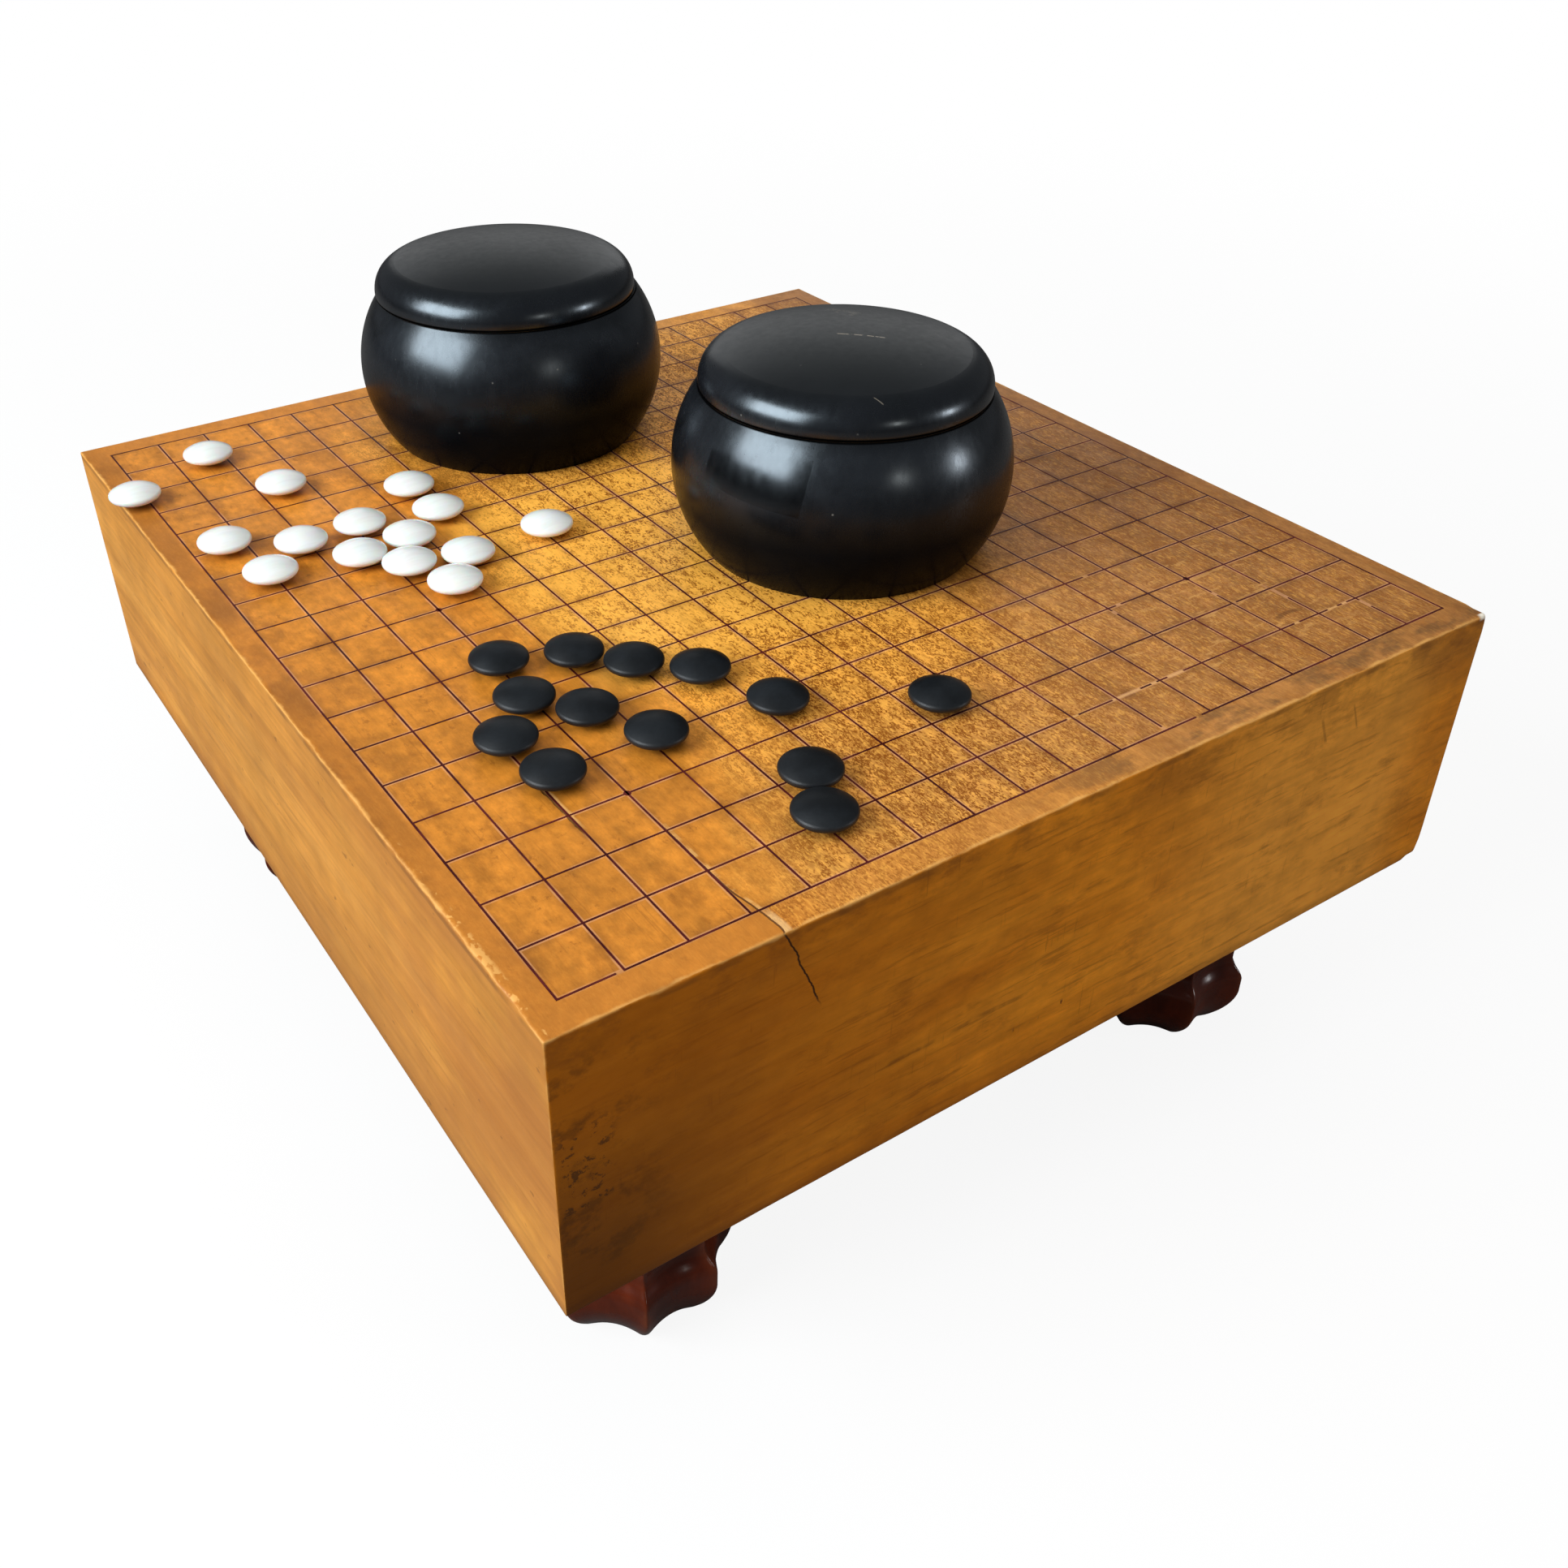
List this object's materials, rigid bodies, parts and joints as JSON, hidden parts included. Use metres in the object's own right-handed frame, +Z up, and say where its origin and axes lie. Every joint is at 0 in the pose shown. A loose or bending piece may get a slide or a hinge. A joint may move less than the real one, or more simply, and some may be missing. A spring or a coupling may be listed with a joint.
{
  "type": "go board",
  "caption": "Floor go board: a thick ruled wood block on carved fluted legs, with lidded lacquer bowls of lens-shaped stones and loose stones in play, all of which lift off.",
  "frame": {"origin": "on the floor under the middle of the board", "axes": "+X along the board's short side to the player's right, +Y along its long side away from the player, +Z up"},
  "size_m": [0.4234, 0.4542, 0.3105],
  "materials": {
    "board_wood": "old waxed conifer wood, honey brown",
    "line_lacquer": "raised dark lacquer",
    "leg_lacquer": "glossy red-brown lacquer over carved wood",
    "bowl_lacquer": "satin black lacquer over turned wood",
    "lid_lacquer": "worn satin black lacquer over turned wood",
    "white_stone": "polished shell",
    "black_stone": "dull oiled slate"
  },
  "bodies": {
    "board": {"board_block": "board_wood", "grid_lines": "line_lacquer", "star_points": "line_lacquer", "leg_front_left": "leg_lacquer", "leg_front_right": "leg_lacquer", "leg_rear_left": "leg_lacquer", "leg_rear_right": "leg_lacquer"},
    "white_bowl": {"white_bowl": "bowl_lacquer", "white_bowl_stones_1": "white_stone", "white_bowl_stones_2": "white_stone", "white_bowl_stones_3": "white_stone", "white_bowl_stones_4": "white_stone", "white_bowl_stones_5": "white_stone", "white_bowl_stones_6": "white_stone", "white_bowl_stones_7": "white_stone"},
    "white_bowl_lid": {"white_bowl_lid": "lid_lacquer"},
    "black_bowl": {"black_bowl": "bowl_lacquer", "black_bowl_stones_1": "black_stone", "black_bowl_stones_2": "black_stone", "black_bowl_stones_3": "black_stone", "black_bowl_stones_4": "black_stone", "black_bowl_stones_5": "black_stone", "black_bowl_stones_6": "black_stone", "black_bowl_stones_7": "black_stone"},
    "black_bowl_lid": {"black_bowl_lid": "lid_lacquer"},
    "white_stone_1": {"white_stone_1": "white_stone"},
    "white_stone_2": {"white_stone_2": "white_stone"},
    "white_stone_3": {"white_stone_3": "white_stone"},
    "white_stone_4": {"white_stone_4": "white_stone"},
    "white_stone_5": {"white_stone_5": "white_stone"},
    "white_stone_6": {"white_stone_6": "white_stone"},
    "white_stone_7": {"white_stone_7": "white_stone"},
    "white_stone_8": {"white_stone_8": "white_stone"},
    "white_stone_9": {"white_stone_9": "white_stone"},
    "white_stone_10": {"white_stone_10": "white_stone"},
    "white_stone_11": {"white_stone_11": "white_stone"},
    "white_stone_12": {"white_stone_12": "white_stone"},
    "white_stone_13": {"white_stone_13": "white_stone"},
    "white_stone_14": {"white_stone_14": "white_stone"},
    "white_stone_15": {"white_stone_15": "white_stone"},
    "black_stone_1": {"black_stone_1": "black_stone"},
    "black_stone_2": {"black_stone_2": "black_stone"},
    "black_stone_3": {"black_stone_3": "black_stone"},
    "black_stone_4": {"black_stone_4": "black_stone"},
    "black_stone_5": {"black_stone_5": "black_stone"},
    "black_stone_6": {"black_stone_6": "black_stone"},
    "black_stone_7": {"black_stone_7": "black_stone"},
    "black_stone_8": {"black_stone_8": "black_stone"},
    "black_stone_9": {"black_stone_9": "black_stone"},
    "black_stone_10": {"black_stone_10": "black_stone"},
    "black_stone_11": {"black_stone_11": "black_stone"},
    "black_stone_12": {"black_stone_12": "black_stone"},
    "black_stone_13": {"black_stone_13": "black_stone"}
  },
  "joints": [
    {"name": "white_bowl_lift", "type": "slide", "parent": "board", "child": "white_bowl", "axis": [0, 0, 1], "range_m": [0, 0.15]},
    {"name": "white_lid_lift", "type": "slide", "parent": "white_bowl", "child": "white_bowl_lid", "axis": [0, 0, 1], "range_m": [0, 0.09]},
    {"name": "black_bowl_lift", "type": "slide", "parent": "board", "child": "black_bowl", "axis": [0, 0, 1], "range_m": [0, 0.15]},
    {"name": "black_lid_lift", "type": "slide", "parent": "black_bowl", "child": "black_bowl_lid", "axis": [0, 0, 1], "range_m": [0, 0.09]},
    {"name": "white_stone_1_lift", "type": "slide", "parent": "board", "child": "white_stone_1", "axis": [0, 0, 1], "range_m": [0, 0.06]},
    {"name": "white_stone_2_lift", "type": "slide", "parent": "board", "child": "white_stone_2", "axis": [0, 0, 1], "range_m": [0, 0.06]},
    {"name": "white_stone_3_lift", "type": "slide", "parent": "board", "child": "white_stone_3", "axis": [0, 0, 1], "range_m": [0, 0.06]},
    {"name": "white_stone_4_lift", "type": "slide", "parent": "board", "child": "white_stone_4", "axis": [0, 0, 1], "range_m": [0, 0.06]},
    {"name": "white_stone_5_lift", "type": "slide", "parent": "board", "child": "white_stone_5", "axis": [0, 0, 1], "range_m": [0, 0.06]},
    {"name": "white_stone_6_lift", "type": "slide", "parent": "board", "child": "white_stone_6", "axis": [0, 0, 1], "range_m": [0, 0.06]},
    {"name": "white_stone_7_lift", "type": "slide", "parent": "board", "child": "white_stone_7", "axis": [0, 0, 1], "range_m": [0, 0.06]},
    {"name": "white_stone_8_lift", "type": "slide", "parent": "board", "child": "white_stone_8", "axis": [0, 0, 1], "range_m": [0, 0.06]},
    {"name": "white_stone_9_lift", "type": "slide", "parent": "board", "child": "white_stone_9", "axis": [0, 0, 1], "range_m": [0, 0.06]},
    {"name": "white_stone_10_lift", "type": "slide", "parent": "board", "child": "white_stone_10", "axis": [0, 0, 1], "range_m": [0, 0.06]},
    {"name": "white_stone_11_lift", "type": "slide", "parent": "board", "child": "white_stone_11", "axis": [0, 0, 1], "range_m": [0, 0.06]},
    {"name": "white_stone_12_lift", "type": "slide", "parent": "board", "child": "white_stone_12", "axis": [0, 0, 1], "range_m": [0, 0.06]},
    {"name": "white_stone_13_lift", "type": "slide", "parent": "board", "child": "white_stone_13", "axis": [0, 0, 1], "range_m": [0, 0.06]},
    {"name": "white_stone_14_lift", "type": "slide", "parent": "board", "child": "white_stone_14", "axis": [0, 0, 1], "range_m": [0, 0.06]},
    {"name": "white_stone_15_lift", "type": "slide", "parent": "board", "child": "white_stone_15", "axis": [0, 0, 1], "range_m": [0, 0.06]},
    {"name": "black_stone_1_lift", "type": "slide", "parent": "board", "child": "black_stone_1", "axis": [0, 0, 1], "range_m": [0, 0.06]},
    {"name": "black_stone_2_lift", "type": "slide", "parent": "board", "child": "black_stone_2", "axis": [0, 0, 1], "range_m": [0, 0.06]},
    {"name": "black_stone_3_lift", "type": "slide", "parent": "board", "child": "black_stone_3", "axis": [0, 0, 1], "range_m": [0, 0.06]},
    {"name": "black_stone_4_lift", "type": "slide", "parent": "board", "child": "black_stone_4", "axis": [0, 0, 1], "range_m": [0, 0.06]},
    {"name": "black_stone_5_lift", "type": "slide", "parent": "board", "child": "black_stone_5", "axis": [0, 0, 1], "range_m": [0, 0.06]},
    {"name": "black_stone_6_lift", "type": "slide", "parent": "board", "child": "black_stone_6", "axis": [0, 0, 1], "range_m": [0, 0.06]},
    {"name": "black_stone_7_lift", "type": "slide", "parent": "board", "child": "black_stone_7", "axis": [0, 0, 1], "range_m": [0, 0.06]},
    {"name": "black_stone_8_lift", "type": "slide", "parent": "board", "child": "black_stone_8", "axis": [0, 0, 1], "range_m": [0, 0.06]},
    {"name": "black_stone_9_lift", "type": "slide", "parent": "board", "child": "black_stone_9", "axis": [0, 0, 1], "range_m": [0, 0.06]},
    {"name": "black_stone_10_lift", "type": "slide", "parent": "board", "child": "black_stone_10", "axis": [0, 0, 1], "range_m": [0, 0.06]},
    {"name": "black_stone_11_lift", "type": "slide", "parent": "board", "child": "black_stone_11", "axis": [0, 0, 1], "range_m": [0, 0.06]},
    {"name": "black_stone_12_lift", "type": "slide", "parent": "board", "child": "black_stone_12", "axis": [0, 0, 1], "range_m": [0, 0.06]},
    {"name": "black_stone_13_lift", "type": "slide", "parent": "board", "child": "black_stone_13", "axis": [0, 0, 1], "range_m": [0, 0.06]}
  ]
}
